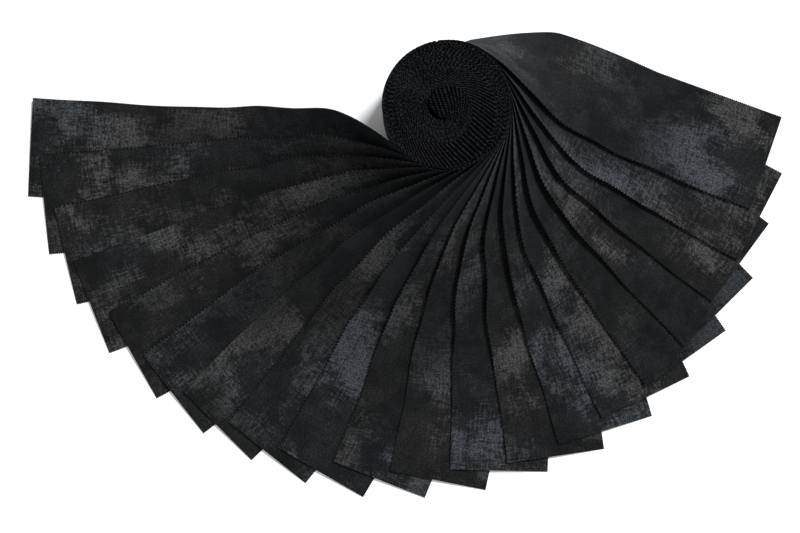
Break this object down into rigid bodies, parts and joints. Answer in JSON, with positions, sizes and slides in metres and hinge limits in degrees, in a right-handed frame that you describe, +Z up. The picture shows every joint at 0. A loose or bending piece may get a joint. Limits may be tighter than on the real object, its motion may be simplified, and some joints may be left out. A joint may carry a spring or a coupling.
{
  "type": "jelly roll of fabric strips",
  "caption": "Wound roll of doubled, pinked quilting cotton strips that stands on its edges, with the loose folded ends fanned flat over the table.",
  "frame": {"origin": "on the table under the roll's axis", "axes": "+Z up along the roll's axis; +X to the right of the fan, along its longest side; +Y from the fan's middle strips towards the roll"},
  "size_m": [0.4787, 0.2852, 0.0635],
  "materials": {
    "roll_cotton": "pinked cut edges of charcoal quilting cotton, matt",
    "strip_cotton": "mottled, brushed charcoal print on plain-woven quilting cotton, matt"
  },
  "bodies": {
    "root": {"roll": "roll_cotton", "strip_01": "strip_cotton", "strip_02": "strip_cotton", "strip_03": "strip_cotton", "strip_04": "strip_cotton", "strip_05": "strip_cotton", "strip_06": "strip_cotton", "strip_07": "strip_cotton", "strip_08": "strip_cotton", "strip_09": "strip_cotton", "strip_10": "strip_cotton", "strip_11": "strip_cotton", "strip_12": "strip_cotton", "strip_13": "strip_cotton", "strip_14": "strip_cotton", "strip_15": "strip_cotton", "strip_16": "strip_cotton", "strip_17": "strip_cotton", "strip_18": "strip_cotton", "strip_19": "strip_cotton", "strip_20": "strip_cotton"}
  },
  "joints": []
}
